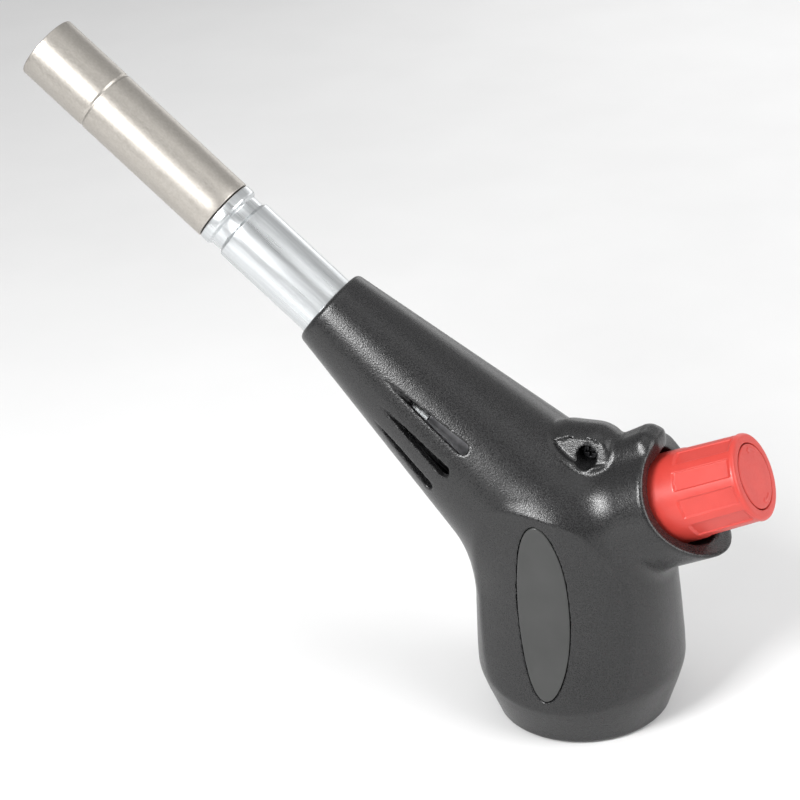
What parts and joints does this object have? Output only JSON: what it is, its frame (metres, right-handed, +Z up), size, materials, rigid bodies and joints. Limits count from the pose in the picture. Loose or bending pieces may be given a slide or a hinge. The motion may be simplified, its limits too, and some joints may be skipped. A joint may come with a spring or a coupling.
{
  "type": "gas torch head",
  "caption": "Hand-held blowtorch head for a screw-on gas cartridge: black two-part housing with a bell skirt, long metal burner tube and red valve knob.",
  "frame": {"origin": "centre of the skirt's bottom rim, on the cartridge axis", "axes": "+Z up the cartridge axis; the burner tube leans towards -X, the valve knob towards +X; the housing halves meet on Y = 0"},
  "size_m": [0.2447, 0.0656, 0.223],
  "materials": {
    "housing_plastic": "spark-eroded grain",
    "inlay_plastic": "satin",
    "knob_plastic": "satin",
    "zinc_plate": "bright zinc plated",
    "stainless": "satin",
    "brass": "turned",
    "cast_zinc": "as cast",
    "screw_steel": "blackened",
    "seal_rubber": "matte"
  },
  "bodies": {
    "torch_body": {"housing_left": "housing_plastic", "housing_right": "housing_plastic", "label_inlay_left": "inlay_plastic", "label_inlay_right": "inlay_plastic", "housing_screw": "screw_steel", "valve_body": "cast_zinc", "cartridge_connector": "brass", "connector_seal": "seal_rubber", "depressor_pin": "brass", "gas_filter": "brass", "gland_nut": "brass", "feed_pipe": "brass", "gas_jet": "brass", "burner_socket": "cast_zinc", "burner_tube": "zinc_plate", "mixing_venturi": "cast_zinc", "flame_tube": "stainless", "flame_holder": "brass"},
    "spindle_slider": {"spindle_o_ring": "seal_rubber"},
    "valve_control": {"valve_spindle": "brass", "knob": "knob_plastic", "knob_cap": "knob_plastic", "knob_screw": "screw_steel"}
  },
  "joints": [
    {"name": "spindle_travel", "type": "slide", "parent": "torch_body", "child": "spindle_slider", "axis": [0.9205, 0, 0.3907], "range_m": [0, 0.00112]},
    {"name": "knob_turn", "type": "hinge", "parent": "spindle_slider", "child": "valve_control", "pos_m": [-0.003, 0, 0.063], "axis": [0.9205, 0, 0.3907], "range_deg": [0, 540]}
  ],
  "couplings": [
    {"joint": "knob_turn", "follows": "spindle_travel", "rad_per_m": 8377.6}
  ]
}
